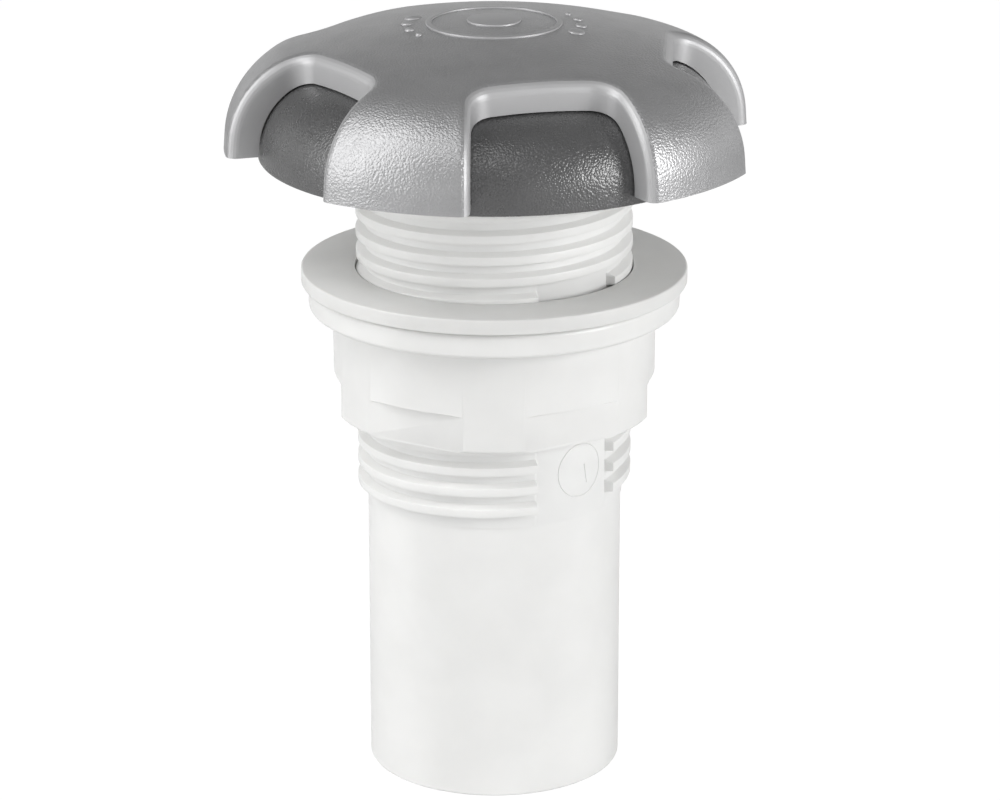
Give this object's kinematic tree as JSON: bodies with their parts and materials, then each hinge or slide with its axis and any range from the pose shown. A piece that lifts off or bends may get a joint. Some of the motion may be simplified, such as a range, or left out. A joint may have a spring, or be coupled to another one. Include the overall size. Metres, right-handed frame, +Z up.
{
  "type": "spa air control valve",
  "caption": "Air control valve for a spa: a threaded body with a lock nut and a gasket, and a lobed cap that turns a rotor to open and close its air ports.",
  "frame": {"origin": "centre of the tube's lower end face, on the valve's axis", "axes": "+Z up the valve's axis towards the cap; -Y is the side that the picture shows, with a window of the cap towards it; +X is the picture's right"},
  "size_m": [0.0857, 0.0877, 0.1272],
  "materials": {
    "white_plastic": "moulded, softly glossy",
    "nut_plastic": "moulded, softly glossy",
    "gasket_rubber": "smooth, slightly translucent grey-white",
    "dark_grey_plastic": "fine grain, satin",
    "silver_plastic": "metallic silver-grey, fine leather grain",
    "rotor_plastic": "moulded, satin",
    "seal_rubber": "greased, smooth",
    "screw_steel": "plain stainless steel"
  },
  "bodies": {
    "body": {"valve_body": "white_plastic"},
    "cap": {"turn_handle": "dark_grey_plastic", "cap_cover": "silver_plastic", "air_rotor": "rotor_plastic", "upper_o_ring": "seal_rubber", "lower_o_ring": "seal_rubber", "handle_screw": "screw_steel"},
    "gasket": {"gasket": "gasket_rubber"},
    "nut": {"lock_nut": "nut_plastic"}
  },
  "joints": [
    {"name": "cap_turn", "type": "hinge", "parent": "body", "child": "cap", "pos_m": [0, 0, 0.1165], "axis": [0, 0, -1], "range_deg": [0, 90]},
    {"name": "gasket_lift", "type": "slide", "parent": "body", "child": "gasket", "axis": [0, 0, 1], "range_m": [-0.01421, 0.01687]},
    {"name": "nut_turn", "type": "hinge", "parent": "gasket", "child": "nut", "pos_m": [0, 0, 0.0621], "axis": [0, 0, 1], "range_deg": [-1440, 1710]}
  ],
  "couplings": [
    {"joint": "gasket_lift", "follows": "nut_turn", "m_per_rad": 0.000565}
  ]
}
